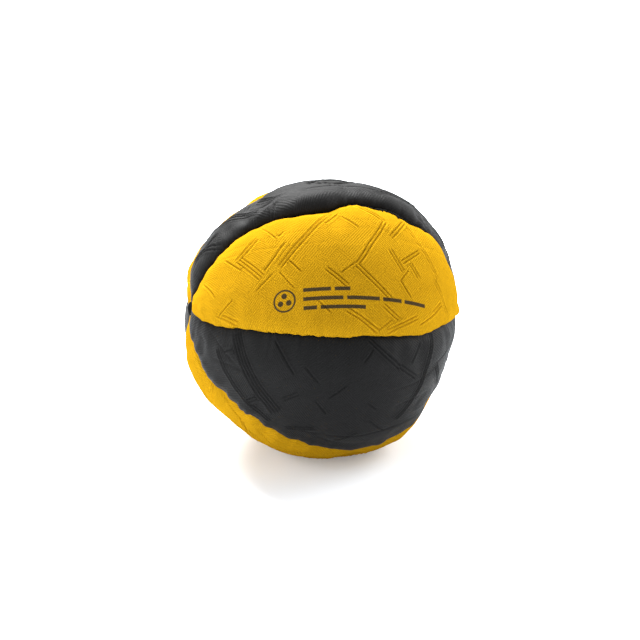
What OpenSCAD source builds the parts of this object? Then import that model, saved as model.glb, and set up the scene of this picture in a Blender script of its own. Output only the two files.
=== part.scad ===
// Stuffed juggling ball. Six cloth gores are sewn edge to edge round a filled bag.
// Millimetres, +Z up. The ball stands on its flattened underside at z = 0, and its
// two poles, where all six gores meet, lie to the left (-X) and the right (+X).

/* [Ball] */
// Diameter of the stuffed ball
ball_d = 65; // [60:0.5:75]
// Diameter of the flattened patch that the ball stands on
rest_d = 19; // [12:0.5:20]
// How far the line through the poles tips from level, left pole up, in degrees
pole_tilt = 6; // [0:0.5:12]
// How far the line through the poles passes above the ball's centre
pole_lift = 2.1; // [0:0.1:3]
// How far the line through the poles passes behind the ball's centre
pole_back = 1.8; // [0:0.1:3]
// Where the first seam lies, in degrees up from the rear of the ball
first_seam = -8; // [-14:0.5:-4]

/* [Cover] */
// Thickness of the cover cloth
cloth_t = 0.7; // [0.5:0.05:0.9]
// Width of each gore's turned-in edge, measured inwards from the cloth
seam_allowance = 5; // [3:0.5:7]
// Space between two gores at a seam
seam_gap = 0.05; // [0.02:0.01:0.1]
// Distance from the poles' line at which the turned-in edges end
allowance_end = 3.2; // [2.8:0.1:6]

/* [Seam threads] */
// Thickness of the sewing threads
thread_d = 0.4; // [0.3:0.05:0.5]
// Length of one machine stitch
stitch = 3; // [2:0.25:4]
// Depth of the machine seam below the ball's surface
seam_depth = 1.6; // [1.5:0.1:2.5]
// Diameter of a needle hole
needle_d = 0.5; // [0.46:0.02:0.7]

/* [Closing seam] */
// Where the hand sewn stretch ends, in degrees along its seam from the right pole
closing_end = 88; // [40:1:120]
// Distance from one hand stitch to the next
hand_stitch = 2; // [1.5:0.25:4]
// Radius of one hand stitch's loop
loop_r = 1.25; // [1.2:0.05:1.3]

/* [Poles] */
// Diameter of the hole left at each pole, which a thread tack fills
pole_hole_d = 2.4; // [2:0.1:3]
// Diameter of the knot on the inner side of each tack
knot_d = 4; // [3.4:0.1:4.4]
// Thickness of that knot
knot_t = 1.4; // [1:0.1:1.6]

/* [Filling] */
// Thickness of the inner bag
liner_t = 0.3; // [0.2:0.05:0.5]
// Diameter of one filling granule
granule_d = 6; // [5:0.5:9]
// Distance between the centres of neighbouring granules
granule_pitch = 6.2; // [6.05:0.05:10]

/* [Hidden] */

$fn = 96;
small_fn = 24;

gores = 6;
gore_angle = 360 / gores;
closing_seam = 2;

ball_r = ball_d / 2;
centre_z = sqrt(ball_r * ball_r - rest_d * rest_d / 4);
pole_x = sqrt(ball_r * ball_r - pole_lift * pole_lift - pole_back * pole_back);

allowance_depth = cloth_t + seam_allowance;
edge_side = seam_gap / 2 + cloth_t;
hairline = 0.02;
thread_side = edge_side + hairline + thread_d / 2;
pin_d = 0.8 * thread_d;
pin_gap = hairline;
hole_slack = 0.05;

slack = 0.15;
knot_depth = cloth_t + slack;
liner_depth = cloth_t + slack;
groove_depth = allowance_depth + slack;
groove_side = loop_r + thread_d / 2 + slack;

yellow = [0.86, 0.62, 0.1];
black = [0.19, 0.19, 0.19];
thread_colour = [0.12, 0.12, 0.12];
liner_colour = [0.85, 0.85, 0.82];
granule_colour = [0.93, 0.93, 0.9];

// Seams are numbered from 0, up from the rear, over the top, down the front and round below
function seam_angle(k) = first_seam + gore_angle * k;

// The ball's centre in a seam's own frame: outwards along the seam, and across it
function centre_out(k) = -pole_back * cos(seam_angle(k)) - pole_lift * sin(seam_angle(k));
function centre_side(k) = pole_back * sin(seam_angle(k)) - pole_lift * cos(seam_angle(k));

// Radius of the arc that follows seam k at a depth below the ball's surface
function arc_r(k, depth) = sqrt(pow(ball_r - depth, 2) - pow(centre_side(k), 2));

// Angle at which that arc is a given distance out from the poles' line
function arc_angle(k, depth, out) = asin((out - centre_out(k)) / arc_r(k, depth));

// Ends of the machine seam along seam k
function machine_from(k) = k == closing_seam
    ? closing_end
    : arc_angle(k, seam_depth, allowance_end + thread_d);
function machine_to(k) = 180 - arc_angle(k, seam_depth, allowance_end + thread_d);

// Evenly spaced angles for the stitches of one seam, about one stitch length apart
function stitch_angles(k, from, to, length) =
    let (n = round(arc_r(k, seam_depth) * (to - from) * PI / 180 / length))
    [for (i = [0.5:n - 0.5]) from + (to - from) * i / n];

function machine_angles(k) = stitch_angles(k, machine_from(k), machine_to(k), stitch);
closing_from = arc_angle(closing_seam, seam_depth, allowance_end + 2 * thread_d);
closing_angles = stitch_angles(closing_seam, closing_from, closing_end - 2, hand_stitch);

// Frame of the poles: X runs along the line through them
module in_poles()
    translate([0, 0, centre_z])
        rotate([0, pole_tilt, 0])
            translate([0, pole_back, pole_lift])
                children();

// Frame of seam k: Y runs outwards in the plane of the seam, and Z across it
module at_seam(k)
    in_poles()
        rotate([seam_angle(k), 0, 0])
            children();

// One place on the arc that follows seam k, with X pointing outwards there
module on_arc(k, depth, angle)
    at_seam(k)
        translate([0, centre_out(k), 0])
            rotate([0, 0, angle])
                translate([arc_r(k, depth), 0, 0])
                    children();

// The ball's solid form, shrunk by a depth: a sphere with the flat patch below
module ball_body(depth)
    intersection() {
        translate([0, 0, centre_z])
            sphere(r = ball_r - depth);
        translate([-ball_r, -ball_r, depth])
            cube(2 * ball_r);
    }

// The space between seam k and the next, short of each by half the seam gap
module wedge(k) {
    reach = 3 * ball_r;
    apex = seam_gap * [cos(gore_angle / 2), sin(gore_angle / 2)];
    at_seam(k)
        rotate([90, 0, 90])
            translate(apex)
                linear_extrude(2 * reach, center = true)
                    polygon([[0, 0], [reach, 0], reach * [cos(gore_angle), sin(gore_angle)]]);
}

// The space that the two turned-in edges take along seam k
module turned_edges(k)
    difference() {
        at_seam(k)
            translate([-ball_r, allowance_end, -edge_side])
                cube([2 * ball_r, ball_r, 2 * edge_side]);
        ball_body(allowance_depth);
    }

module needle_holes(k)
    for (angle = machine_angles(k))
        on_arc(k, seam_depth, angle)
            cylinder(d = needle_d, h = 2 * thread_side, center = true, $fn = small_fn);

module pole_holes()
    in_poles()
        rotate([0, 90, 0])
            cylinder(d = pole_hole_d, h = 2 * ball_d, center = true, $fn = small_fn);

// Loops of the hand sewn stretch, each round the seam and through both gores
module hand_loops(d)
    for (angle = closing_angles)
        on_arc(closing_seam, loop_r, angle)
            rotate([90, 0, 0])
                rotate_extrude($fn = 2 * small_fn)
                    translate([loop_r, 0])
                        circle(d = d, $fn = small_fn);

// Gore k runs from seam k to the next: cloth outside, hollow inside but for its turned-in edges
module gore(k) {
    next = (k + 1) % gores;
    difference() {
        intersection() {
            ball_body(0);
            wedge(k);
        }
        difference() {
            ball_body(cloth_t);
            turned_edges(k);
            turned_edges(next);
        }
        pole_holes();
        needle_holes(k);
        needle_holes(next);
        if (k == closing_seam || next == closing_seam)
            hand_loops(thread_d + 2 * hole_slack);
    }
}

// A thread lying along seam k, at one side of the two turned-in edges
module thread_line(k, depth, side, from, to)
    at_seam(k)
        translate([0, centre_out(k), side * thread_side])
            rotate([0, 0, from])
                rotate_extrude(angle = to - from)
                    translate([arc_r(k, depth), 0])
                        circle(d = thread_d, $fn = small_fn);

// One of the two machine threads of seam k, which meet halfway through the cloth
module machine_thread(k, side) {
    thread_line(k, seam_depth, side, machine_from(k), machine_to(k));
    for (angle = machine_angles(k))
        on_arc(k, seam_depth, angle)
            translate([0, 0, side > 0 ? pin_gap / 2 : -thread_side])
                cylinder(d = pin_d, h = thread_side - pin_gap / 2, $fn = small_fn);
}

module needle_thread(k)
    color(thread_colour)
        machine_thread(k, 1);

module bobbin_thread(k)
    color(thread_colour)
        machine_thread(k, -1);

// The hand sewn thread: its loops, and the length that joins them inside the ball
module closing_thread() {
    loop_line_depth = loop_r + sqrt(pow(loop_r, 2) - pow(thread_side, 2));
    first = closing_angles[0];
    last = closing_angles[len(closing_angles) - 1];
    tail = 1;
    color(thread_colour) {
        hand_loops(thread_d);
        thread_line(closing_seam, loop_line_depth, 1, first - tail, last + tail);
    }
}

// Thread tack that gathers the six points at one pole, with its knot inside
module pole_tack() {
    shank_d = pole_hole_d - 2 * hole_slack;
    rim_r = (knot_d - knot_t) / 2;
    color(thread_colour)
        translate([0, 0, -knot_depth - knot_t / 2]) {
            cylinder(d = shank_d, h = knot_depth + knot_t / 2, $fn = small_fn);
            cylinder(r = rim_r, h = knot_t, center = true, $fn = small_fn);
            rotate_extrude($fn = 2 * small_fn)
                translate([rim_r, 0])
                    circle(d = knot_t, $fn = small_fn);
        }
}

module left_pole_tack()
    in_poles()
        translate([-pole_x, 0, 0])
            rotate([0, -90, 0])
                pole_tack();

module right_pole_tack()
    in_poles()
        translate([pole_x, 0, 0])
            rotate([0, 90, 0])
                pole_tack();

// The inner bag's form, shrunk by an inset: it fills the cover and dips in at each seam
module bag_form(inset)
    difference() {
        ball_body(liner_depth + inset);
        difference() {
            for (k = [0:gores - 1])
                at_seam(k)
                    translate([-ball_r, 0, -groove_side - inset])
                        cube([2 * ball_r, 2 * ball_r, 2 * (groove_side + inset)]);
            ball_body(groove_depth + inset);
        }
    }

module inner_liner()
    color(liner_colour)
        difference() {
            bag_form(0);
            bag_form(liner_t);
        }

// Where a granule's centre lies, in the frame of the poles: depth below the surface,
// height above the ground, and distance from the nearest seam's groove
room = liner_t + granule_d / 2;
function depth_at(p) = ball_r - norm(p + [0, pole_back, pole_lift]);
function height_at(p) = centre_z + (p.z + pole_lift) * cos(pole_tilt) - p.x * sin(pole_tilt);
function seam_out(p, k) = p.y * cos(seam_angle(k)) + p.z * sin(seam_angle(k));
function seam_side(p, k) = p.z * cos(seam_angle(k)) - p.y * sin(seam_angle(k));
function off_seam(p, k) = seam_out(p, k) < 0
    ? norm([p.y, p.z])
    : abs(seam_side(p, k));
function off_seams(p) = min([for (k = [0:gores - 1]) off_seam(p, k)]);
function fits(p) =
    min(depth_at(p), height_at(p)) > liner_depth + room
    && (min(depth_at(p), height_at(p)) > groove_depth + room || off_seams(p) > groove_side + room);

// Closely packed granules, kept inside the inner bag
module filling_granules() {
    step = granule_pitch / sqrt(2);
    n = ceil(ball_r / step);
    color(granule_colour)
        in_poles()
            for (i = [-n:n], j = [-n:n], k = [-n:n])
                if ((i + j + k) % 2 == 0 && fits([i, j, k] * step))
                    translate([i, j, k] * step)
                        sphere(d = granule_d, $fn = small_fn);
}

module yellow_rear_panel()
    color(yellow)
        gore(0);

module black_top_panel()
    color(black)
        gore(1);

module yellow_front_panel()
    color(yellow)
        gore(2);

module black_front_panel()
    color(black)
        gore(3);

module yellow_bottom_panel()
    color(yellow)
        gore(4);

module black_rear_panel()
    color(black)
        gore(5);

yellow_rear_panel();
black_top_panel();
yellow_front_panel();
black_front_panel();
yellow_bottom_panel();
black_rear_panel();
needle_thread(0);  // needle_thread_1
needle_thread(1);  // needle_thread_2
needle_thread(2);  // needle_thread_3
needle_thread(3);  // needle_thread_4
needle_thread(4);  // needle_thread_5
needle_thread(5);  // needle_thread_6
bobbin_thread(0);  // bobbin_thread_1
bobbin_thread(1);  // bobbin_thread_2
bobbin_thread(2);  // bobbin_thread_3
bobbin_thread(3);  // bobbin_thread_4
bobbin_thread(4);  // bobbin_thread_5
bobbin_thread(5);  // bobbin_thread_6
closing_thread();
left_pole_tack();
right_pole_tack();
inner_liner();
filling_granules();
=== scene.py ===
"""The looks of a stuffed juggling ball: six embossed cloth gores, their threads, bag and filling.

Shapes are worked out in millimetres in the ball's own frame, and turned into metres in the row
frame when a mesh is made. A place on the ball is a gore, u across it from 0 to 1, and v along it
from 0 at the left pole to 1 at the right pole.
"""
import math

import bmesh
import bpy
import numpy as np
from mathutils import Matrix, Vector


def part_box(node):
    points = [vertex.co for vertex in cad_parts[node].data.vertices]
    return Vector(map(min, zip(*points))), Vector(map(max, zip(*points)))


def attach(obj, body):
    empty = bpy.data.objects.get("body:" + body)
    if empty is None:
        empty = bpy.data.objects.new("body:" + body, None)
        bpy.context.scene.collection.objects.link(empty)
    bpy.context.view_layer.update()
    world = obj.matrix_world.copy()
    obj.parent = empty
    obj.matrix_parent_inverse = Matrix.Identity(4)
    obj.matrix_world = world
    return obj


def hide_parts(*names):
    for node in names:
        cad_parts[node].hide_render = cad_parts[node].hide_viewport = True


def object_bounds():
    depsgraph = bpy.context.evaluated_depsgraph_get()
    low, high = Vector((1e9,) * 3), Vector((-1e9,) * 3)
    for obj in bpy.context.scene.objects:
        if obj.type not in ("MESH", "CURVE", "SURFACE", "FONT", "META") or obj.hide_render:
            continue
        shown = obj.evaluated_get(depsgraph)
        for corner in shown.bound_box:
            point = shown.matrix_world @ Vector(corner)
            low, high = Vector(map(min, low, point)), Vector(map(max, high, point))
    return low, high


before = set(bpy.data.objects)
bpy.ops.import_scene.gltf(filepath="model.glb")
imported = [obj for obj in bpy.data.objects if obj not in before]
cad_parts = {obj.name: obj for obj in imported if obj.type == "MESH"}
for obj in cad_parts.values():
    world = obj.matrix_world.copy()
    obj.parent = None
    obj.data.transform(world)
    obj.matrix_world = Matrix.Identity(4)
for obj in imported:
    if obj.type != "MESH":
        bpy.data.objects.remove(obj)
cad_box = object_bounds()

MM = 0.001

# ---------------------------------------------------------------- sizes, in millimetres
# The ball, its cloth and its gores. The turned-in edges narrow towards the poles, from the full
# edge's reach from the poles' line, and the cloth dips at the poles
BALL_R = (cad_box[1].x - cad_box[0].x) / 2 / MM
CENTRE = np.array([0.0, 0.0, cad_box[1].z / MM - BALL_R])
CLOTH_T = 0.6
SEAM_ALLOWANCE = 5.0
FULL_EDGE_REACH = 12.0
HALF_GAP = 0.03
GORES = 6
GORE_ANGLE = 2 * math.pi / GORES
FIRST_SEAM = math.radians(-8)
POLE_HOLE_R = 1.0
POLE_DIP = 1.0
POLE_SPREAD = 4.0
# The pressed lines and the ribs of the cloth
LINE_PITCH = 0.78
LINE_DEPTH = 0.24
RIDGE_HEIGHT = 0.14
RIB_PITCH = 0.48
# How far to the side of a seam its turned-in edges reach, and the threads
EDGE_SIDE = HALF_GAP + CLOTH_T
THREAD_R = 0.2
TACK_R = 0.3
STITCH = 3.0
SEAM_DEPTH = 1.6
HAND_PITCH = 1.1
# The bag and the filling
LINER_DEPTH = 1.5
LINER_T = 0.3
GRANULE_R = 3.0
GRANULE_PITCH = 6.2
GRANULE_CLEAR = 0.4
GRANULE_UNEVEN = 0.08


def box_middle(node):
    """The middle of a CAD node's box, in the ball's frame in mm."""
    low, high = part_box(node)
    return (np.array(low) + np.array(high)) / 2 / MM - CENTRE


# The line through the poles, as the two pole tacks give it
LEFT, RIGHT = box_middle("left_pole_tack"), box_middle("right_pole_tack")
POLE_X = (RIGHT - LEFT) / np.linalg.norm(RIGHT - LEFT)
POLE_Y = np.array([0.0, 1.0, 0.0])
POLE_Z = np.cross(POLE_X, POLE_Y)
POLE_BACK = float(LEFT @ POLE_Y)
POLE_LIFT = float(LEFT @ POLE_Z)


# ---------------------------------------------------------------- small tools
def unit(v):
    return v / np.linalg.norm(v, axis=-1, keepdims=True)


def smooth(x, low, high):
    t = np.clip((x - low) / (high - low), 0, 1)
    return t * t * (3 - 2 * t)


def bump(x, width):
    return np.exp(-((x / width) ** 2))


def noise(x, y, seed, cells=64):
    """Smooth noise from -1 to 1, with features about one unit apart."""
    table = np.random.default_rng(seed).uniform(-1, 1, (cells, cells))
    xi, yi = np.floor(x).astype(int), np.floor(y).astype(int)
    fx, fy = x - xi, y - yi
    fx, fy = fx * fx * (3 - 2 * fx), fy * fy * (3 - 2 * fy)
    a, b = table[xi % cells, yi % cells], table[(xi + 1) % cells, yi % cells]
    c, d = table[xi % cells, (yi + 1) % cells], table[(xi + 1) % cells, (yi + 1) % cells]
    return (a * (1 - fx) + b * fx) * (1 - fy) + (c * (1 - fx) + d * fx) * fy


def spline_weight(t):
    """Weight of a grid point t steps away, on a cubic B-spline."""
    t = np.abs(t)
    near, far = 2 / 3 - t**2 + t**3 / 2, np.maximum(2 - t, 0) ** 3 / 6
    return np.where(t < 1, near, far)


def sample(grid, row, column):
    """Smooth value of a grid of heights, which repeats across its columns."""
    rows, columns = grid.shape
    r, c = np.floor(row).astype(int), np.floor(column).astype(int)
    total = np.zeros(np.broadcast(row, column).shape)
    for i in range(-1, 3):
        for j in range(-1, 3):
            weight = spline_weight(row - r - i) * spline_weight(column - c - j)
            total += weight * grid[np.clip(r + i, 0, rows - 1), (c + j) % columns]
    return total


def curve(points, per):
    """A smooth curve through points, with per steps from each to the next."""
    points = np.asarray(points, dtype=float)
    steps = np.linspace(0, 1, (len(points) - 1) * per + 1)
    return np.stack([along(points[:, axis], steps) for axis in range(3)], axis=-1)


# ---------------------------------------------------------------- the stuffed form
# Lumps and hollows of the filling: azimuth from the front towards the right and elevation in
# degrees, height in mm, and spread in degrees
LUMPS = [
    (88, 47, 1.2, 26),
    (60, -18, -1.7, 22),
    (74, 2.5, 0.6, 4),
    (80, 19, -0.5, 9),
    (50, -48, 1.1, 14),
    (165, 68, -0.5, 18),
    (-78, -46, -1.2, 24),
    (-112, 20, -0.4, 14),
    (-128, 50, -1.5, 22),
    (-103, 2, -1.2, 16),
    (25, -58, 0.6, 20),
]

# How each seam is sewn and pressed: which side rolls over the other (-1 before, 1 after),
# how deep it lies, how wide the roll is, how far it hangs over, how far the roll stands
# proud, how much the cloth beside it puckers, and how far its line jags
SEAMS = [
    dict(over=-1, depth=1.2, roll=2.2, hang=0.3, crest=0.2, pucker=0.16, jag=0.3),
    dict(over=-1, depth=1.4, roll=2.6, hang=0.4, crest=1.3, pucker=0.16, jag=0.3),
    dict(over=-1, depth=2.5, roll=3.0, hang=0.9, crest=0.6, pucker=0.14, jag=0.25),
    dict(over=-1, depth=1.1, roll=1.6, hang=0.3, crest=0.3, pucker=0.12, jag=0.32),
    dict(over=-1, depth=1.6, roll=1.6, hang=0.5, crest=0.3, pucker=0.34, jag=0.65),
    dict(over=-1, depth=1.4, roll=2.0, hang=0.4, crest=0.3, pucker=0.24, jag=0.35),
]

# How far each seam strays from its even place, in mm at even steps from the left pole to the
# right; a plus is towards the next gore
STRAY = [
    [0, 0.4, 0.8, 0.5, -0.3, -0.6, 0],
    [0, -2.5, -2.5, 1.5, 4.5, 5.8, 6.0, 5.0, 3.5, 2, 1, 0, 0],
    [0, -0.4, -1.8, -2.6, -1.5, 0.3, -0.6, -1.4, 0, -1.0, 3.2, 5.6, 0],
    [0, 0.8, 0.9, 0.4, 0.2, 0.1, -0.1, 0.1, 0.15, -0.9, -1.0, -0.5, 0],
    [0, -1.5, -2.5, -3.8, -3.8, -3.8, -1.5, -0.8, -2.4, -4.0, -3.0, -1.5, 0],
    [0, -0.5, -0.8, 0.3, 0.6, 0.2, 0],
]

# Where one seam turns a corner: which seam, where along it, how far it strays, half its width
CORNERS = [
    (2, 0.515, -1.5, 0.06),
    (2, 0.85, -0.8, 0.05),
    (4, 0.30, -1.2, 0.02),
    (4, 0.43, 0.8, 0.04),
]


def along(values, v):
    """A smooth curve through values at even steps of v from 0 to 1."""
    p = np.array([values[0], *values, values[-1]], dtype=float)
    x = np.clip(v, 0, 1) * (len(values) - 1)
    i = np.minimum(x.astype(int), len(values) - 2)
    t = x - i
    a, b, c, d = p[i], p[i + 1], p[i + 2], p[i + 3]
    return b + 0.5 * t * (c - a + t * (2 * a - 5 * b + 4 * c - d + t * (3 * (b - c) + d - a)))


def meridian(phi, v):
    """Radius of the arc in the half-plane at phi, and v's angle on it and reach from the poles' line."""
    out0 = -POLE_BACK * np.cos(phi) - POLE_LIFT * np.sin(phi)
    side = POLE_BACK * np.sin(phi) - POLE_LIFT * np.cos(phi)
    rho = np.sqrt(BALL_R**2 - side**2)
    start = np.arcsin(-out0 / rho)
    theta = start + (math.pi - 2 * start) * v
    return rho, theta, out0 + rho * np.sin(theta)


def seam_phi(k, v):
    """Angle of seam k about the line through the poles, with the way that it strays."""
    phi = FIRST_SEAM + GORE_ANGLE * k
    reach = meridian(phi, v)[2]
    fade = smooth(np.minimum(v, 1 - v), 0.0, 0.12)
    seam = k % GORES
    jag = 0.9 * np.abs(noise(v * 60, 0 * v + seam, 5)) + 0.6 * noise(v * 28, 0 * v + seam, 6)
    stray = along(STRAY[seam], v) + jag * SEAMS[seam]["jag"]
    for which, middle, far, half in CORNERS:
        if which == seam:
            stray = stray + far * np.maximum(0, 1 - np.abs(v - middle) / half)
    return phi + stray * fade / np.maximum(reach, 5.0)


def sphere_point(phi, v):
    """The place on the bare sphere at angle phi and at v along."""
    rho, theta, reach = meridian(phi, v)
    x = -rho * np.cos(theta)
    y, z = reach * np.cos(phi), reach * np.sin(phi)
    y, z = y + POLE_BACK, z + POLE_LIFT
    return x[..., None] * POLE_X + y[..., None] * POLE_Y + z[..., None] * POLE_Z


def lump_height(normal):
    """Height of the lumps together, at places given by the way outwards."""
    total = np.zeros(normal.shape[:-1])
    for azimuth, elevation, height, spread in LUMPS:
        a, e = math.radians(azimuth), math.radians(elevation)
        way = np.array([math.sin(a) * math.cos(e), -math.cos(a) * math.cos(e), math.sin(e)])
        angle = np.degrees(np.arccos(np.clip(normal @ way, -1, 1)))
        total += height * bump(angle, spread)
    return total


def seam_profile(k, over, s, width, length):
    """Height and sideways shift of the cloth at s mm from seam k, length mm along it."""
    sewn = SEAMS[k % GORES]
    fade = smooth(width, 1.0, 12.0)
    deep = sewn["depth"] * fade
    if over:
        roll = np.minimum(sewn["roll"], 0.42 * width)
        t = np.clip(s / roll, 0, 1)
        height = -deep * (1 - np.sqrt(1 - (1 - t) ** 2))
        height = height + sewn["crest"] * fade * bump(s - 1.4 * roll, 1.3 * roll)
        shift = sewn["hang"] * np.sin(math.pi * t**0.7) * smooth(width, 2.0, 12.0)
    else:
        height = -deep * np.exp(-s / 1.5)
        shift = 0 * s
    fold = noise(length / 2.6, 0 * s + 3 * k, 11) + 0.6 * noise(length / 1.3, 0 * s + 3 * k, 12)
    height = height + sewn["pucker"] * fold * np.exp(-s / 3.0) * smooth(s, 0.0, 0.5)
    return height, shift


def place(k, u, v):
    """Places on gore k: point, normal, the gore's width, length and reach, and flat x and y."""
    phi0, phi1 = seam_phi(k, v), seam_phi(k + 1, v)
    phi = phi0 + (phi1 - phi0) * u
    rho, theta, reach = meridian(phi, v)
    base = sphere_point(phi, v)
    normal = base / BALL_R
    width = reach * (phi1 - phi0)
    length = rho * theta
    x = rho * (theta - math.pi / 2)
    y = reach * (phi - FIRST_SEAM - GORE_ANGLE * (k + 0.5))
    return dict(base=base, normal=normal, width=width, length=length, x=x, y=y, reach=reach)


def rest_on_ground(points):
    """Flattens what would sink below the ground."""
    z = points[..., 2] + CENTRE[2]
    soft = 0.5
    points = points.copy()
    points[..., 2] = (z + np.sqrt(z * z + soft * soft)) / 2 - CENTRE[2]
    return points


def skin(k, u, v):
    """The place at (u, v) of gore k, and the height and sideways shift of the cloth there."""
    p = place(k, u, v)
    s0, s1 = p["width"] * u, p["width"] * (1 - u)
    before = SEAMS[k % GORES]["over"] > 0
    after = SEAMS[(k + 1) % GORES]["over"] < 0
    h0, shift0 = seam_profile(k, before, s0, p["width"], p["length"])
    h1, shift1 = seam_profile(k + 1, after, s1, p["width"], p["length"])
    off_seam = smooth(np.minimum(s0, s1), 0.0, 3.0)
    height = h0 + h1 + lump_height(p["normal"]) - POLE_DIP * bump(p["reach"], POLE_SPREAD)
    height = height + off_seam * wrinkles(k, p)
    height = height + smooth(p["reach"], 3, 14) * sample(SWELL, v * SWELL_V, (k + u) * SWELL_U)
    return p, height, shift1 - shift0


def across_way(normal):
    """The way across the gores, towards the next one."""
    return unit(np.cross(POLE_X, normal))


def surface(k, u, v, lift=0.0):
    """Points of the cloth's outer face on gore k, in the ball's frame in mm, raised by lift."""
    p, height, shift = skin(k, u, v)
    points = p["base"] + p["normal"] * (height + lift)[..., None]
    return rest_on_ground(points + across_way(p["normal"]) * shift[..., None])


def crease(x, y, seed, width):
    """Long thin creases, from 0 to 1, that wander about one unit apart."""
    return bump(noise(x, y, seed), width) * smooth(noise(x / 2 + 5, y / 2, seed + 1), -0.2, 0.4)


# How slack the cloth of each gore is, as the height of its long folds in mm
SLACK = (0.2, 0.45, 0.06, 0.14, 0.25, 0.35)


def wrinkles(k, p):
    """Soft folds in the cloth: long ones on the slack gores, and a slight unevenness on all."""
    edge = smooth(p["width"], 3, 16)
    long_folds = noise(p["x"] / 16 + 7, p["y"] / 4.5 + 9 * k, 21 + k)
    ridged = 1 - 2 * np.abs(noise(p["x"] / 22 + 3, p["y"] / 6 + 5 * k, 31 + k))
    uneven = noise(p["x"] / 9, p["y"] / 8 + 3 * k, 41 + k)
    fine = crease(p["x"] / 13 + 4, p["y"] / 3.0 + 7 * k, 71 + k, 0.11)
    folds = SLACK[k] * (long_folds + 0.8 * ridged - 1.1 * fine)
    return edge * (folds + 0.15 * uneven)


# ---------------------------------------------------------------- the cloth simulation
# Steps of the coarse skin across each gore and along it, and how far each of its places rises
SWELL_U, SWELL_V = 16, 56
SWELL = np.zeros((SWELL_V + 1, GORES * SWELL_U))


def coarse_skin():
    """Points, normals and faces of one closed skin: rows of a grid, then its two poles."""
    u, v = np.meshgrid(np.arange(SWELL_U) / SWELL_U, np.arange(1, SWELL_V) / SWELL_V)
    rows = np.concatenate([place(k, u, v)["base"] for k in range(GORES)], axis=1)
    poles = np.array([sphere_point(0.0, np.float64(end)) for end in (0, 1)])
    columns = GORES * SWELL_U
    points = np.concatenate([rows.reshape(-1, 3), poles])
    faces = []
    for i in range(SWELL_V - 2):
        for j in range(columns):
            a, b = i * columns + j, i * columns + (j + 1) % columns
            faces.append((a, b, b + columns, a + columns))
    last, left, right = (SWELL_V - 2) * columns, len(points) - 2, len(points) - 1
    for j in range(columns):
        faces.append((left, (j + 1) % columns, j))
        faces.append((right, last + j, last + (j + 1) % columns))
    return points, unit(points), faces


def blur(grid, reach):
    """The mean round each place, taken twice; the columns repeat and the rows don't."""
    for _ in range(2):
        rows = np.pad(grid, ((reach, reach), (0, 0)), mode="edge")
        grid = sum(rows[i : i + len(grid)] for i in range(2 * reach + 1)) / (2 * reach + 1)
        shifts = range(-reach, reach + 1)
        grid = sum(np.roll(grid, shift, axis=1) for shift in shifts) / (2 * reach + 1)
    return grid


def simulate_swell():
    """How far each place rises when pressure fills the skin and its seams draw up, in mm."""
    # Metres in the simulation for each mm, which makes it ten times the ball's real size
    sim_scale = 0.01
    frames = 24
    # How strongly the places on a seam and beside it draw up
    draw_up = (1.0, 0.3)
    # Only the short folds are kept, those that a mean over this many steps takes away
    fold_reach = 4
    share, cap = 0.5, 0.7
    points, normals, faces = coarse_skin()
    mesh = bpy.data.meshes.new("skin")
    mesh.from_pydata((points * sim_scale).tolist(), [], faces)
    obj = bpy.data.objects.new("skin", mesh)
    bpy.context.scene.collection.objects.link(obj)
    seams = obj.vertex_groups.new(name="seams")
    columns = GORES * SWELL_U
    for j in range(columns):
        off = min(j % SWELL_U, SWELL_U - j % SWELL_U)
        if off < len(draw_up):
            seams.add([i * columns + j for i in range(SWELL_V - 1)], draw_up[off], "REPLACE")
    cloth = obj.modifiers.new("cloth", "CLOTH")
    cloth.point_cache.frame_end = frames
    settings = cloth.settings
    settings.quality = 6
    settings.mass = 0.3
    settings.tension_stiffness = 20
    settings.compression_stiffness = 20
    settings.shear_stiffness = 8
    settings.bending_stiffness = 0.3
    settings.use_pressure = True
    settings.uniform_pressure_force = 6
    settings.effector_weights.gravity = 0
    settings.vertex_group_shrink = "seams"
    settings.shrink_min = -0.04
    settings.shrink_max = 0.06
    for number in range(1, frames + 1):
        bpy.context.scene.frame_set(number)
    shape = obj.evaluated_get(bpy.context.evaluated_depsgraph_get()).data
    moved = np.empty(len(points) * 3)
    shape.vertices.foreach_get("co", moved)
    rise = ((moved.reshape(-1, 3) / sim_scale - points) * normals).sum(-1)
    bpy.context.scene.frame_set(1)
    bpy.data.objects.remove(obj)
    grid = rise[:-2].reshape(SWELL_V - 1, columns)
    folds = np.zeros((SWELL_V + 1, columns))
    folds[1:-1] = grid - blur(grid, fold_reach)
    return np.clip(share * folds, -cap, cap)


SWELL = simulate_swell()


# ---------------------------------------------------------------- the embossed pattern
# The two directions that pressed bands mostly run in, in degrees on the flat cloth
WEAVE = (48, 138)

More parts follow.
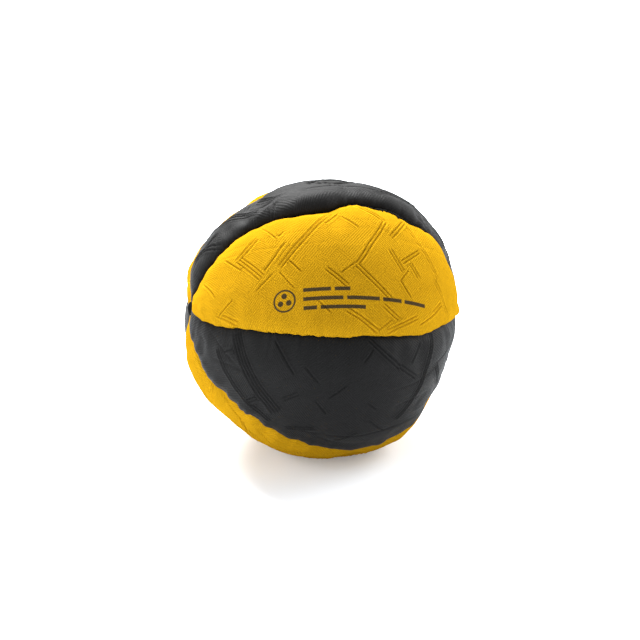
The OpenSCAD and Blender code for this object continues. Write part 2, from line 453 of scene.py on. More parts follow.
# Pressed bands of the two front gores on the flat cloth: middle x and y, direction in degrees,
# length, number of lines, and how far the band bends over its length in degrees
BANDS = {
    2: [
        (-11.5, -6.5, 136, 19.5, 2, 0), (-19, -2.5, 136, 8.5, 1, 0), (-19, -9, 60, 6, 1, 0),
        (-17, -7.5, 136, 3, 1, 0), (-25, -6, 140, 7.5, 2, 0), (-25, -1, 51, 7.5, 3, 0),
        (-29, -3, 45, 5.5, 1, 0), (-15, 0.5, 52, 4, 1, 0), (-17, 3.5, 53, 5.5, 1, 0),
        (4.5, -13, 46, 8.5, 2, 0), (3, -4.5, 129, 14.5, 2, 0), (2, 5, 46, 11, 2, 0),
        (-6, 4, 44, 6, 2, 0), (-3.5, 2, 142, 4, 1, 0), (10.5, -8.5, 137, 7.5, 2, 0),
        (17, -4, 56, 15.5, 2, 8), (8.5, 0, 62, 6.5, 2, 0), (12.5, -1.5, 148, 7, 2, 0),
        (13, 1.5, 58, 5, 2, 0), (10, 3.5, 134, 4, 1, 0), (10, 6.5, 55, 4.5, 1, 0),
        (-0.5, 14, 36, 9, 2, 0), (4.5, 15, 139, 4, 1, 0), (6, 12, 38, 5, 2, 0),
        (9, 14.5, 152, 9, 2, 0), (16.5, 12.5, 146, 6, 1, 0), (-32, 9, 34, 6.5, 2, 0),
        (-32.5, 6.5, 148, 5, 1, 0), (-22, 3, 140, 6, 1, 0), (22, 6, 50, 8, 2, 0),
        (-5, -11, 136, 5, 1, 0), (-1, -10, 46, 5, 1, 0), (20, 9.5, 140, 5, 2, 0),
        (-37, 1, 50, 6, 1, 0), (-9, 10.5, 44, 4, 1, 0),
    ],
    3: [
        (-24, -2.5, 46, 19, 4, -20), (-26.5, 2.5, 34, 20, 2, -24), (-17.5, -10, 47, 8, 1, 0),
        (-11, -8, 40, 4.5, 1, 0), (-15, -1.5, 136, 4.5, 2, 0), (-8, -0.5, 44, 4.5, 1, 0),
        (-11, 7, 159, 6.5, 2, 0), (5, -13.5, 41, 11, 2, 0), (11.5, -8.5, 38, 6.5, 2, 0),
        (16, -5, 116, 21, 2, 30), (3.5, -1.5, 37, 3.5, 1, 0), (-0.5, 8.5, 141, 6, 1, 0),
        (1, -13.5, 127, 4, 1, 0), (-22.5, 2.5, 127, 5.5, 2, 0), (-30, -6, 140, 6, 1, 0),
        (14, -12, 130, 5, 1, 0), (24, -2, 60, 10, 2, 0), (6, 5, 44, 7, 1, 0),
        (-5, -5, 136, 5, 1, 0),
    ],
}


def random_bands(k):
    """Bands of a gore that has none of its own: corners of part rectangles, spread about."""
    corners, first_x, step_x = 13, -42, 6.6
    rng = np.random.default_rng(100 + k)
    bands = []
    for i in range(corners):
        corner = np.array([first_x + step_x * i + rng.uniform(-3, 3), rng.uniform(-12, 12)])
        for way in (0, 1):
            length = rng.uniform(4, 16 if way == 0 else 10)
            step = (length / 2 - rng.uniform(0, 2)) * rng.choice([-1, 1])
            turn = math.radians(WEAVE[way])
            middle = corner + step * np.array([math.cos(turn), math.sin(turn)])
            bands.append((*middle, WEAVE[way], length, rng.choice([1, 2, 2, 3]), 0))
    return bands


def emboss(k, x, y):
    """The pressed band nearest to flat (x, y), and the rib direction there.

    A band is a vector: how far across it in line pitches, so that its lines lie at 0, 1 and so
    on, its number of lines, and how deep it is pressed there from 0 to 1.
    """
    x = x + 0.25 * noise(x / 6, y / 6, 51 + k)
    y = y + 0.25 * noise(x / 6 + 9, y / 6, 61 + k)
    rng = np.random.default_rng(200 + k)
    band, ribs = np.zeros((*x.shape, 3)), np.zeros_like(x)
    for mid_x, mid_y, degrees, length, lines, bend in BANDS.get(k) or random_bands(k):
        turn = math.radians(degrees)
        run = (x - mid_x) * math.cos(turn) + (y - mid_y) * math.sin(turn)
        off = -(x - mid_x) * math.sin(turn) + (y - mid_y) * math.cos(turn)
        off = off - math.radians(bend) / (2 * length) * (run**2 - length**2 / 12)
        across = off / LINE_PITCH + (lines - 1) / 2
        outside = np.maximum(-0.5 - across, across - lines + 0.5)
        near = 1 - smooth(outside, 0.5, 0.9)
        strength = rng.uniform(0.7, 1.0) * near * smooth(length / 2 - np.abs(run), -0.3, 0.5)
        here = np.stack([across, lines + 0 * across, strength], axis=-1)
        band = np.where((strength > band[..., 2])[..., None], here, band)
        side = rng.choice([-1, 1])
        inside = (off * side > 0) & (off * side < rng.uniform(4, 8)) & (np.abs(run) < length / 2)
        ribs = np.where(inside, 1.0 - ribs, ribs)
    return band, ribs


def band_height(band):
    """Height of the cloth over a band: grooves at its lines, and ridges beside them."""
    across, lines, strength = band[..., 0], band[..., 1], band[..., 2]
    to_line = np.abs(across - np.round(across)) * LINE_PITCH
    to_ridge = np.abs(across + 0.5 - np.round(across + 0.5)) * LINE_PITCH
    groove = bump(to_line, 0.17) * (across > -0.5) * (across < lines - 0.5)
    ridge = bump(to_ridge, 0.2) * (across > -1) * (across < lines)
    return strength * (RIDGE_HEIGHT * ridge - LINE_DEPTH * groove)


# ---------------------------------------------------------------- meshes
def make_object(name, points, faces, body="root"):
    """A smooth-shaded mesh object from points in the ball's frame in mm."""
    mesh = bpy.data.meshes.new(name)
    verts = (points.reshape(-1, 3) + CENTRE) * MM
    mesh.vertices.add(len(verts))
    mesh.vertices.foreach_set("co", verts.ravel())
    loops = np.concatenate([np.asarray(f).ravel() for f in faces])
    per = np.concatenate([np.full(len(f), f.shape[1]) for f in faces])
    starts = np.concatenate([[0], np.cumsum(per)[:-1]])
    mesh.loops.add(len(loops))
    mesh.loops.foreach_set("vertex_index", loops)
    mesh.polygons.add(len(per))
    mesh.polygons.foreach_set("loop_start", starts)
    mesh.polygons.foreach_set("use_smooth", np.ones(len(per), dtype=bool))
    mesh.update(calc_edges=True)
    mesh.validate()
    obj = bpy.data.objects.new(name, mesh)
    bpy.context.scene.collection.objects.link(obj)
    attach(obj, body)
    return obj


def grid_faces(rows, columns, first=0, flip=False):
    """Quads of a grid of points, whose first point has the index first."""
    i, j = np.meshgrid(np.arange(rows - 1), np.arange(columns - 1), indexing="ij")
    a = first + i * columns + j
    quad = np.stack([a, a + 1, a + columns + 1, a + columns], axis=-1).reshape(-1, 4)
    return quad[:, ::-1] if flip else quad


def rim(rows, columns, first=0):
    """Indices round the border of a grid, in order."""
    top = [first + j for j in range(columns)]
    right = [first + i * columns + columns - 1 for i in range(1, rows)]
    low = [first + (rows - 1) * columns + j for j in range(columns - 2, -1, -1)]
    left = [first + i * columns for i in range(rows - 2, 0, -1)]
    return np.array(top + right + low + left)


def add_attribute(mesh, name, vectors):
    attribute = mesh.attributes.new(name, "FLOAT_VECTOR", "POINT")
    attribute.data.foreach_set("vector", vectors.ravel())


# Steps of a gore's outer face across and along, rows of points on each turned-in edge, and how
# many steps of the outer face make one of the inner face
GRID_U, GRID_V = 172, 500
FLAP_ROWS = 4
COARSE = 4


def gore_points(k):
    """Grid of one gore's outer face with its two turned-in edges, and its flat coordinates."""
    t = np.linspace(0, 1, GRID_U + 1)
    u_line = t - 0.3 * np.sin(2 * math.pi * t) / (2 * math.pi)
    v_line = np.linspace(0, 1, GRID_V + 1)
    end = POLE_HOLE_R / (math.pi * BALL_R)
    v_line = end + (1 - 2 * end) * v_line
    u, v = np.meshgrid(u_line, v_line, indexing="ij")
    p = place(k, u, v)
    band, ribs = emboss(k, p["x"], p["y"])
    fade = smooth(np.minimum(p["width"] * u, p["width"] * (1 - u)), 0.2, 0.8)
    band[..., 2] *= fade
    face = surface(k, u, v, lift=band_height(band))
    flaps = []
    for edge, side in ((face[0], 1), (face[-1], -1)):
        u_edge = 0 if side > 0 else 1
        q = place(k, np.full(GRID_V + 1, float(u_edge)), v_line)
        across = across_way(q["normal"]) * side
        depth = SEAM_ALLOWANCE * np.minimum(1, q["reach"] / FULL_EDGE_REACH)
        steps = np.arange(1, FLAP_ROWS + 1) / FLAP_ROWS
        rows = edge - q["normal"] * (steps[:, None, None] * depth[:, None])
        flaps.append(rows + across * HALF_GAP)
    points = np.concatenate([flaps[0][::-1], face, flaps[1]], axis=0)
    attributes = dict(flat=np.stack([p["x"], p["y"], ribs], axis=-1), band=band)
    for key, values in attributes.items():
        first, last = np.repeat(values[:1], FLAP_ROWS, 0), np.repeat(values[-1:], FLAP_ROWS, 0)
        attributes[key] = np.concatenate([first, values, last], axis=0)
    return points, attributes


def grid_normals(points):
    """The way square to a grid of points, at each of them."""
    du, dv = np.gradient(points, axis=0), np.gradient(points, axis=1)
    return unit(np.cross(du, dv) + 1e-12)


def make_gore(k, name, material):
    """One gore: outer face, inner face a cloth's thickness below it, and the edge between."""
    points, attributes = gore_points(k)
    rows, columns = points.shape[:2]
    normals = grid_normals(points)
    outward = np.sign((normals * points).sum(-1).mean())
    inner = (points - outward * normals * CLOTH_T)[::COARSE, ::COARSE]
    inner_rows, inner_columns = inner.shape[:2]
    count = rows * columns
    fine, coarse = rim(rows, columns), rim(inner_rows, inner_columns, count)
    n = len(fine)
    strip = []
    for i, c in enumerate(coarse):
        d = coarse[(i + 1) % len(coarse)]
        f = [fine[(COARSE * i + j) % n] for j in range(COARSE + 1)]
        strip += [(f[0], f[1], c), (f[1], f[2], c), (c, f[2], d), (f[2], f[3], d), (f[3], f[4], d)]
    flip = outward < 0
    strip = np.array(strip)
    faces = [
        grid_faces(rows, columns, flip=flip),
        grid_faces(inner_rows, inner_columns, count, flip=not flip),
        strip if flip else strip[:, ::-1],
    ]
    every = np.concatenate([points.reshape(-1, 3), inner.reshape(-1, 3)])
    obj = make_object(name.replace("panel", "cloth"), every, faces)
    for key, values in attributes.items():
        inner_values = values[::COARSE, ::COARSE].reshape(-1, 3)
        add_attribute(obj.data, key, np.concatenate([values.reshape(-1, 3), inner_values]))
    obj.data.materials.append(material)
    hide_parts(name)
    return obj


def tube(path, radius, sides):
    """Points and faces of a round tube along a path, closed at its ends."""
    way = unit(np.gradient(path, axis=0))
    side = np.array([0.3, 0.5, 0.8])
    sideways = []
    for w in way:
        side = unit(side - (side @ w) * w)
        sideways.append(side)
    sideways = np.array(sideways)
    up = np.cross(way, sideways)
    a = np.linspace(0, 2 * math.pi, sides, endpoint=False)[None, :, None]
    ring = np.cos(a) * sideways[:, None] + np.sin(a) * up[:, None]
    taper = np.full(len(path), radius)
    taper[[0, -1]] = 0.4 * radius
    points = (path[:, None] + ring * taper[:, None, None]).reshape(-1, 3)
    i, j = np.meshgrid(np.arange(len(path) - 1), np.arange(sides), indexing="ij")
    a0 = i * sides + j
    a1 = i * sides + (j + 1) % sides
    faces = np.stack([a0, a1, a1 + sides, a0 + sides], axis=-1).reshape(-1, 4)
    caps = np.array([np.arange(sides)[::-1], len(points) - sides + np.arange(sides)])
    return points, faces, caps


def make_tube(name, path, radius, material, node, sides=10):
    """A round tube of thread along a path, in place of a CAD node."""
    points, *faces = tube(path, radius, sides)
    obj = make_object(name, points, faces)
    obj.data.materials.append(material)
    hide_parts(node)
    return obj


# ---------------------------------------------------------------- threads
def seam_frame(k, v):
    """The line of seam k, the way outwards there, and the way across it."""
    edge = surface(k, 0 * v, v)
    normal = place(k, 0 * v, v)["normal"]
    return edge, normal, across_way(normal)


def machine_thread(k, side, end):
    """One lock-stitch thread along seam k, on one side of the turned-in edges."""
    start, per_stitch = 0.05, 10
    count = round((end - start) * math.pi * BALL_R / STITCH)
    phase = np.linspace(0, count, count * per_stitch + 1)
    edge, normal, across = seam_frame(k, np.linspace(start, end, len(phase)))
    dip = bump(phase - np.round(phase), 0.12)
    off = side * ((EDGE_SIDE + THREAD_R) * (1 - dip) + THREAD_R * dip)
    depth = SEAM_DEPTH - THREAD_R * dip
    return edge - normal * depth[:, None] + across * off[:, None]


# Where along the closing seam its stitches are longest, and half the length of that stretch
COMB_AT, COMB_HALF = 0.61, 0.05


def closing_path(k, start, end):
    """The whipped hand stitches that close seam k, from under the one gore onto the next."""
    rng = np.random.default_rng(7)
    pitch = HAND_PITCH / (math.pi * BALL_R)
    stops = []
    for v in np.arange(start, end, pitch):
        comb = bump(v - COMB_AT, COMB_HALF)
        reach = 1.0 + 2.8 * rng.uniform(0.6, 1.0) * comb + 0.2 * rng.uniform()
        lean = pitch * rng.uniform(0.3, 0.9)
        at = v + lean * np.array([0.0, 0.2, 0.4, 0.7, 0.95, 1.0])
        edge, normal, across = seam_frame(k, at)
        width = place(k, 0 * at, at)["width"]
        # How far from the seam the thread is on the next gore, and how high above the cloth
        out = np.array([0.0, 0.4, 0.3 * reach + 0.3, 0.65 * reach + 0.15, reach, reach + 0.3])
        lift = np.array([0.0, 0.25, 0.3, 0.28, 0.12, -1.1])
        on_cloth = surface(k, out / width, at, lift=lift)
        stops.append(edge[0] - normal[0] * 2.2 - across[0] * 1.1)
        stops.append(edge[0] - normal[0] * 0.8 - across[0] * 0.1)
        stops += list(on_cloth[1:])
        stops.append(edge[-1] - normal[-1] * 2.6 + across[-1] * 1.1)
    return curve(stops, 5)


def pole_tack_path(end):
    """A coil of thread over the hole at one pole, down through it, and a knot inside."""
    v = np.full(GORES, POLE_HOLE_R / (math.pi * BALL_R))
    v = v if end == 0 else 1 - v
    ring = np.array([surface(k, np.float64(0.5), v[k]) for k in range(GORES)])
    out = POLE_X * (1 if end else -1)
    side = POLE_Y
    up = np.cross(out, side)
    tip = ring.mean(axis=0)
    # Turns round the pole so far, and how far out and how high the thread is there
    stops = [
        (0.0, 1.45, 0.05), (2.25, 0.8, 0.3), (3.0, 0.25, 0.45), (3.4, 0.15, -1.0),
        (4.0, 0.5, -2.4), (6.5, 1.2, -2.9), (7.5, 0.6, -3.5),
    ]
    turn, radius, height = curve(stops, 30).T
    angle = 2 * math.pi * turn
    around = np.cos(angle)[:, None] * side + np.sin(angle)[:, None] * up
    return tip + around * radius[:, None] + out * height[:, None]


# ---------------------------------------------------------------- bag and filling
# Points of the bag across each gore, and rows of them along the ball
LINER_COLUMNS, LINER_ROWS = 24, 84


def liner_surface(inset):
    """Points of the bag's form, shrunk by inset: rows along the ball, then its two poles.

    The bag follows the cover, drawn in along the seams to clear the turned-in edges, and at the
    poles to clear the knots.
    """
    t = np.arange(LINER_COLUMNS) / LINER_COLUMNS
    u_line = t - 0.85 * np.sin(2 * math.pi * t) / (2 * math.pi)
    v_line = np.linspace(0.02, 0.98, LINER_ROWS)
    v, u = np.meshgrid(v_line, u_line, indexing="ij")
    rings = []
    for k in range(GORES):
        p, height, _ = skin(k, u, v)
        off = np.minimum(p["width"] * u, p["width"] * (1 - u))
        channel = (SEAM_ALLOWANCE + 1.0) * np.minimum(1, p["reach"] / FULL_EDGE_REACH)
        channel = channel * (1 - smooth(off, 1.5 + inset, 2.8 + inset))
        depth = LINER_DEPTH + inset + channel + 2.6 * bump(p["reach"], 5.0)
        rings.append(rest_on_ground(p["base"] + p["normal"] * (height - CLOTH_T)[..., None])
                     - p["normal"] * (depth - CLOTH_T)[..., None])
    rows = np.concatenate(rings, axis=1)
    return np.concatenate([rows.reshape(-1, 3), [rows[0].mean(axis=0), rows[-1].mean(axis=0)]])


def closed_faces(rows, columns, first=0, flip=False):
    """Quads and triangles of a closed skin: rows of a ring of columns, then its two poles."""
    i, j = np.meshgrid(np.arange(rows - 1), np.arange(columns), indexing="ij")
    a, b = i * columns + j, i * columns + (j + 1) % columns
    quads = np.stack([a, b, b + columns, a + columns], axis=-1).reshape(-1, 4) + first
    j = np.arange(columns)
    last, left, right = (rows - 1) * columns, rows * columns, rows * columns + 1
    following = (j + 1) % columns
    low = np.stack([0 * j + left, following, j], axis=-1)
    high = np.stack([0 * j + right, last + j, last + following], axis=-1)
    triangles = np.concatenate([low, high]) + first
    return (quads[:, ::-1], triangles[:, ::-1]) if flip else (quads, triangles)


def make_liner(material):
    """The inner bag: an outer and an inner skin."""
    outer, inner = liner_surface(0.0), liner_surface(LINER_T)
    size = (LINER_ROWS, GORES * LINER_COLUMNS)
    faces = [*closed_faces(*size, flip=True), *closed_faces(*size, first=len(outer))]
    obj = make_object("inner_bag", np.concatenate([outer, inner]), faces)
    obj.data.materials.append(material)
    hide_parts("inner_liner")
    return obj, inner


def make_granules(wall, material):
    """Slightly uneven pellets on a close-packed lattice, inside the bag's inner wall."""
    step = GRANULE_PITCH / math.sqrt(2)
    n = int(BALL_R / step) + 1
    i, j, k = np.meshgrid(*[np.arange(-n, n + 1)] * 3, indexing="ij")
    even = (i + j + k) % 2 == 0
    centres = np.stack([i[even], j[even], k[even]], axis=-1) * step
    centres = centres @ np.array([POLE_X, POLE_Y, POLE_Z])
    clear = np.array([np.sqrt(((wall - c) ** 2).sum(-1).min()) for c in centres])
    nearest = np.array([np.argmax(unit(wall) @ c) for c in centres])
    inside = np.linalg.norm(centres, axis=-1) < np.linalg.norm(wall[nearest], axis=-1)
    centres = centres[(clear > GRANULE_R + GRANULE_CLEAR) & inside]
    ball = bmesh.new()
    bmesh.ops.create_icosphere(ball, subdivisions=3, radius=1.0)
    way = np.array([list(v.co) for v in ball.verts])
    faces = np.array([[v.index for v in f.verts] for f in ball.faces])
    ball.free()
    points = []
    for number, centre in enumerate(centres):
        uneven = noise(way[:, 0] * 1.5 + number, way[:, 1] * 1.5 + way[:, 2], 81)
        radius = GRANULE_R - GRANULE_UNEVEN + GRANULE_UNEVEN * uneven
        points.append(centre + way * radius[:, None])
    every = np.concatenate([faces + i * len(way) for i in range(len(centres))])
    obj = make_object("filling", np.concatenate(points), [every])
    obj.data.materials.append(material)
    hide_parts("filling_granules")
    return obj


# ---------------------------------------------------------------- materials
class Nodes:
    """A short way to build a node tree."""

    def __init__(self, name):
        self.material = bpy.data.materials.new(name)
        self.material.use_nodes = True
        self.tree = self.material.node_tree
        self.shader = self.tree.nodes["Principled BSDF"]

    def add(self, kind, inputs=None, **settings):
        node = self.tree.nodes.new(kind)
        for key, value in settings.items():
            setattr(node, key, value)
        for key, value in (inputs or {}).items():
            if isinstance(value, bpy.types.NodeSocket):
                self.tree.links.new(value, node.inputs[key])
            else:
                node.inputs[key].default_value = value
        return node

    def math(self, operation, a, b=0.0, c=0.0):
        return self.add("ShaderNodeMath", {0: a, 1: b, 2: c}, operation=operation).outputs[0]

    def attribute(self, name):
        return self.add("ShaderNodeAttribute", attribute_name=name)

    def noise(self, where, scale, detail=3.0):
        inputs = {"Vector": where, "Scale": scale, "Detail": detail}
        return self.add("ShaderNodeTexNoise", inputs).outputs["Fac"]

    def mix(self, factor, a, b):
        node = self.add("ShaderNodeMix", data_type="RGBA")
        for socket, value in ((node.inputs[0], factor), (node.inputs[6], a), (node.inputs[7], b)):
            if isinstance(value, bpy.types.NodeSocket):
                self.tree.links.new(value, socket)
            else:
                socket.default_value = value
        return node.outputs[2]

    def put(self, socket, value):
        if isinstance(value, bpy.types.NodeSocket):
            self.tree.links.new(value, self.shader.inputs[socket])
        else:
            self.shader.inputs[socket].default_value = value


def cloth_material(name, light, dark, groove, gloss, ribbed, groove_shade, printed=False):
    """Embossed ribbed cloth. light and dark are its colours, groove is the painted shade colour of the
    pressed lines.
    """
    n = Nodes(name)
    flat = n.attribute("flat").outputs["Vector"]
    split = n.add("ShaderNodeSeparateXYZ", {0: flat}).outputs
    x, y, ribs = split[0], split[1], split[2]
    wobble = n.math("MULTIPLY", n.noise(flat, 0.6), 0.5)
    one = n.math("ADD", n.math("ADD", x, y), wobble)
    two = n.math("ADD", n.math("SUBTRACT", x, y), wobble)
    turns = 2 * math.pi / (RIB_PITCH * math.sqrt(2))
    rib_one = n.math("SINE", n.math("MULTIPLY", one, turns))
    rib_two = n.math("SINE", n.math("MULTIPLY", two, turns))
    which = n.math("GREATER_THAN", ribs, 0.5)
    rib = n.add("ShaderNodeMix", {0: which, 2: rib_one, 3: rib_two}).outputs[0]
    fuzz = n.noise(flat, 4.0, 5.0)
    patch = n.noise(flat, 0.12, 3.0)
    pressed, raised = band_lines(n)
    colour = n.mix(patch, dark, light)
    # The ribs darken alternate stripes as painted shade, the fuzz is the cloth's own fine mottling, and
    # the raised ridges beside the pressed lines get a painted highlight
    shade = n.math("MULTIPLY_ADD", rib, ribbed, 1 - ribbed)
    shade = n.math("MULTIPLY", shade, n.math("MULTIPLY_ADD", fuzz, 0.7, 0.65))
    shade = n.math("MULTIPLY", shade, n.math("MULTIPLY_ADD", raised, 0.3, 1.0))
    scale = n.add("ShaderNodeVectorMath", {0: colour, 3: shade}, operation="SCALE").outputs[0]
    # The pressed lines are darkened towards the groove colour, as painted shade in them
    colour = n.mix(n.math("MULTIPLY", pressed, groove_shade), scale, groove)
    if printed:
        colour = n.mix(print_mask(n, x, y), colour, (0.02, 0.018, 0.014, 1))
    n.put("Base Color", colour)
    n.put("Roughness", 0.6)
    n.put("Specular IOR Level", gloss)
    relief = n.math("MULTIPLY_ADD", rib, 6 * ribbed, n.math("MULTIPLY", fuzz, 1.2))
    relief = n.math("MULTIPLY_ADD", pressed, -1.5, relief)
    relief = n.math("ADD", relief, raised)
    normal = n.add("ShaderNodeBump", {"Height": relief, "Distance": 0.08 * MM, "Strength": 0.8})
    n.put("Normal", normal.outputs[0])
    return n.material


def band_lines(n):
    """Share of a pressed line and of a raised ridge at each place, from the bands' attribute."""
    split = n.add("ShaderNodeSeparateXYZ", {0: n.attribute("band").outputs["Vector"]}).outputs
    across, lines, strength = split[0], split[1], split[2]

    def stripes(shift, half, soft):
        q = n.math("ADD", across, shift)
        off = n.math("ABSOLUTE", n.math("SUBTRACT", q, n.math("ROUND", q)))
        ramp = {0: off, 1: (half - soft) / LINE_PITCH, 2: (half + soft) / LINE_PITCH, 3: 1.0, 4: 0.0}
        stripe = n.add("ShaderNodeMapRange", ramp).outputs[0]
        above = n.math("GREATER_THAN", across, -0.5 - shift)
        below = n.math("LESS_THAN", n.math("SUBTRACT", across, lines), shift - 0.5)
        inside = n.math("MULTIPLY", above, below)
        return n.math("MULTIPLY", n.math("MULTIPLY", stripe, inside), strength)

    return stripes(0.0, 0.09, 0.06), stripes(0.5, 0.15, 0.1)


# The plain print on the front gore, in mm on the flat cloth: a ring round three dots, and
# rows of bars, each from x to x
SIGN = (-17.8, 8.2)
RING_R, RING_HALF = 2.3, 0.2
DOT_OUT, DOT_R = 1.05, 0.62
BAR_HALF = 0.42
PRINT_SLOPE = 0.045
PRINT_ROWS = [
    (6.4, [(-13.6, -7.6), (-6.8, -3.4)]),
    (8.4, [(-13.7, -5.0), (-4.2, 3.2), (4.0, 8.6), (9.4, 15.4)]),
    (10.4, [(-13.7, -10.8), (-10.0, 0.0)]),
]


def print_mask(n, x, y):
    """Where the ink of the plain print lies."""
    soft = 0.08
    ink_share = 0.93

    def edge(inside):
        step = n.add("ShaderNodeMapRange", {0: inside, 1: -soft, 2: soft})
        return step.outputs[0]

    def off(value, middle):
        return n.math("ABSOLUTE", n.math("SUBTRACT", value, middle))

    def radius(cx, cy):
        dx, dy = n.math("SUBTRACT", x, cx), n.math("SUBTRACT", y, cy)
        return n.math("SQRT", n.math("ADD", n.math("MULTIPLY", dx, dx), n.math("MULTIPLY", dy, dy)))

    ink = edge(n.math("SUBTRACT", RING_HALF, off(radius(*SIGN), RING_R)))
    for i in range(3):
        turn = math.radians(-90 + 120 * i)
        dot = radius(SIGN[0] + DOT_OUT * math.cos(turn), SIGN[1] + DOT_OUT * math.sin(turn))
        ink = n.math("MAXIMUM", ink, edge(n.math("SUBTRACT", DOT_R, dot)))
    level = n.math("MULTIPLY_ADD", n.math("SUBTRACT", x, PRINT_ROWS[0][1][0][0]), -PRINT_SLOPE, y)
    for row_y, bars in PRINT_ROWS:
        high = n.math("SUBTRACT", BAR_HALF, off(level, row_y))
        for left, right in bars:
            wide = n.math("SUBTRACT", (right - left) / 2, off(x, (left + right) / 2))
            ink = n.math("MAXIMUM", ink, edge(n.math("MINIMUM", high, wide)))
    return n.math("MULTIPLY", ink, ink_share)


def thread_material(name, colour):
    """Dull twisted thread."""
    n = Nodes(name)
    where = n.add("ShaderNodeTexCoord").outputs["Object"]
    twist = n.noise(where, 2500.0, 2.0)
    n.put("Base Color", n.mix(twist, colour, tuple(c * 1.8 for c in colour[:3]) + (1,)))
    n.put("Roughness", 0.9)
    n.put("Specular IOR Level", 0.0)
    normal = n.add("ShaderNodeBump", {"Height": twist, "Distance": 0.05 * MM, "Strength": 0.7})
    n.put("Normal", normal.outputs[0])
    return n.material


def plain_material(name, light, dark, scale, roughness):
    """A material whose fine grain goes from dark to light."""
    n = Nodes(name)
    where = n.add("ShaderNodeTexCoord").outputs["Object"]
    grain = n.noise(where, scale, 3.0)
    n.put("Base Color", n.mix(grain, dark, light))
    n.put("Roughness", roughness)
    normal = n.add("ShaderNodeBump", {"Height": grain, "Distance": 0.05 * MM, "Strength": 0.4})
    n.put("Normal", normal.outputs[0])
    return n.material


# The light and dark colours of each cloth, and the painted shade colour of its pressed lines
YELLOW_TONES = ((0.392, 0.214, 0.006, 1), (0.33, 0.17, 0.005, 1), (0.19, 0.075, 0.002, 1))
BLACK_TONES = ((0.010, 0.010, 0.010, 1), (0.007, 0.007, 0.007, 1), (0.001, 0.001, 0.001, 1))
# Gloss, rib strength, and how strongly the pressed lines take their painted shade
YELLOW_FINISH_AND_SHADE = dict(gloss=0.0, ribbed=0.09, groove_shade=0.65)
YELLOW = cloth_material("yellow_cloth", *YELLOW_TONES, **YELLOW_FINISH_AND_SHADE)
PRINTED = cloth_material("printed_yellow_cloth", *YELLOW_TONES, **YELLOW_FINISH_AND_SHADE, printed=True)
BLACK = cloth_material("black_cloth", *BLACK_TONES, gloss=0.06, ribbed=0.06, groove_shade=0.55)
THREAD = thread_material("dark_thread", (0.006, 0.006, 0.006, 1))
LINER = plain_material("liner_cloth", (0.72, 0.71, 0.66, 1), (0.6, 0.59, 0.55, 1), 900.0, 0.85)
GRANULE = plain_material("granules", (0.85, 0.85, 0.8, 1), (0.75, 0.75, 0.7, 1), 400.0, 0.4)

# ---------------------------------------------------------------- the pieces
PANELS = [
    ("yellow_rear_panel", YELLOW, "yellow_cloth"),
    ("black_top_panel", BLACK, "black_cloth"),
    ("yellow_front_panel", PRINTED, "yellow_cloth"),
    ("black_front_panel", BLACK, "black_cloth"),
    ("yellow_bottom_panel", YELLOW, "yellow_cloth"),
    ("black_rear_panel", BLACK, "black_cloth"),
]

bag, bag_wall = make_liner(LINER)
make_granules(bag_wall, GRANULE)
for k, (name, material, slot) in enumerate(PANELS):
    gore = make_gore(k, name, material)

# The seam that is closed by hand, where along it the hand stitches start and end, and where the
# machine's stitches end on the other seams
CLOSING_SEAM, CLOSING_START, CLOSING_END = 2, 0.515, 0.93
MACHINE_END = 0.95
for k in range(GORES):
    end = CLOSING_START if k == CLOSING_SEAM else MACHINE_END
    for kind, side in (("needle_thread", 1), ("bobbin_thread", -1)):
        path = machine_thread(k, side, end)
        make_tube(f"{kind}_seam_{k + 1}", path, THREAD_R, THREAD, f"{kind}_{k + 1}")
stitches = closing_path(CLOSING_SEAM, CLOSING_START, CLOSING_END)
make_tube("closing_stitches", stitches, THREAD_R, THREAD, "closing_thread")
for end, name in enumerate(("left_pole_tack", "right_pole_tack")):
    make_tube(f"{name}_thread", pole_tack_path(end), TACK_R, THREAD, name)


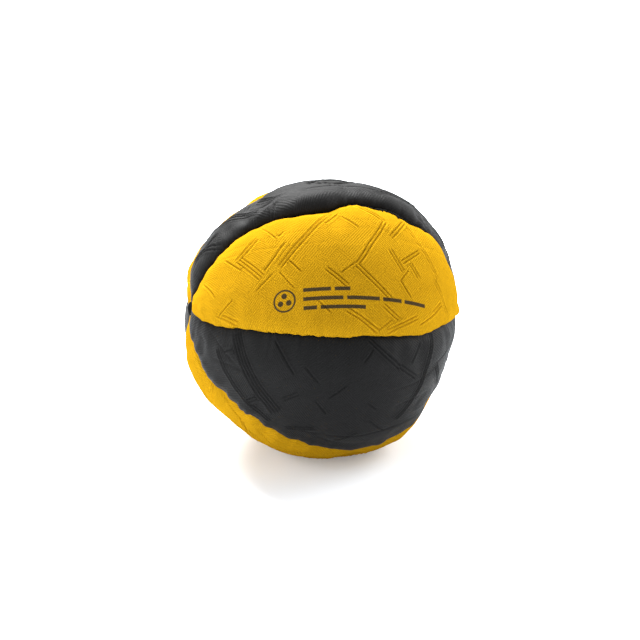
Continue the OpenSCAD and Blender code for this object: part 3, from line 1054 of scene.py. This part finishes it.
# ---------------------------------------------------------------- floor, light, camera
def make_floor(half):
    """A square table top with sides of twice half, and a faint light of its own."""
    corners = [(-half, -half, 0), (half, -half, 0), (half, half, 0), (-half, half, 0)]
    mesh = bpy.data.meshes.new("floor")
    mesh.from_pydata(corners, [], [(0, 1, 2, 3)])
    floor = bpy.data.objects.new("floor", mesh)
    bpy.context.scene.collection.objects.link(floor)
    n = Nodes("floor")
    n.put("Base Color", (0.70, 0.72, 0.745, 1))
    n.put("Roughness", 0.9)
    n.put("Specular IOR Level", 0.1)
    n.put("Emission Color", (0.97, 0.985, 1.0, 1))
    n.put("Emission Strength", 0.2)
    mesh.materials.append(n.material)


def make_light(name, location, size, power):
    """A square area light that faces the ball."""
    target = Vector((0, 0, 0.03))
    light = bpy.data.lights.new(name, "AREA")
    light.size = size
    light.energy = power
    obj = bpy.data.objects.new(name, light)
    obj.location = location
    obj.rotation_euler = (target - obj.location).to_track_quat("-Z", "Y").to_euler()
    bpy.context.scene.collection.objects.link(obj)


def make_world(strength):
    """Even white light from all round."""
    world = bpy.data.worlds.new("studio")
    bpy.context.scene.world = world
    world.use_nodes = True
    background = world.node_tree.nodes["Background"]
    background.inputs["Color"].default_value = (1, 1, 1, 1)
    background.inputs["Strength"].default_value = strength


def make_camera(azimuth, elevation, distance, lens, aim):
    """A camera that looks at aim, azimuth degrees to the right of the front."""
    data = bpy.data.cameras.new("camera")
    camera = bpy.data.objects.new("camera", data)
    a, e = math.radians(azimuth), math.radians(elevation)
    back = Vector((math.sin(a) * math.cos(e), -math.cos(a) * math.cos(e), math.sin(e)))
    camera.location = Vector(aim) + back * distance
    camera.rotation_euler = (-back).to_track_quat("-Z", "Y").to_euler()
    data.lens = lens
    data.clip_start = 0.01
    bpy.context.scene.collection.objects.link(camera)
    bpy.context.scene.camera = camera


make_floor(3)
make_world(0.95)
make_light("behind", (-0.05, 0.45, 0.6), 0.5, 26.0)
make_light("left", (-0.6, 0.05, 0.2), 0.5, 3.7)
make_light("right", (0.6, 0.1, 0.35), 0.5, 7.0)
aim = (CENTRE + [-0.1, 0, -0.25]) * MM
make_camera(azimuth=-16.8, elevation=20, distance=0.392, lens=94.0, aim=aim)
bpy.context.scene.view_settings.view_transform = "Standard"
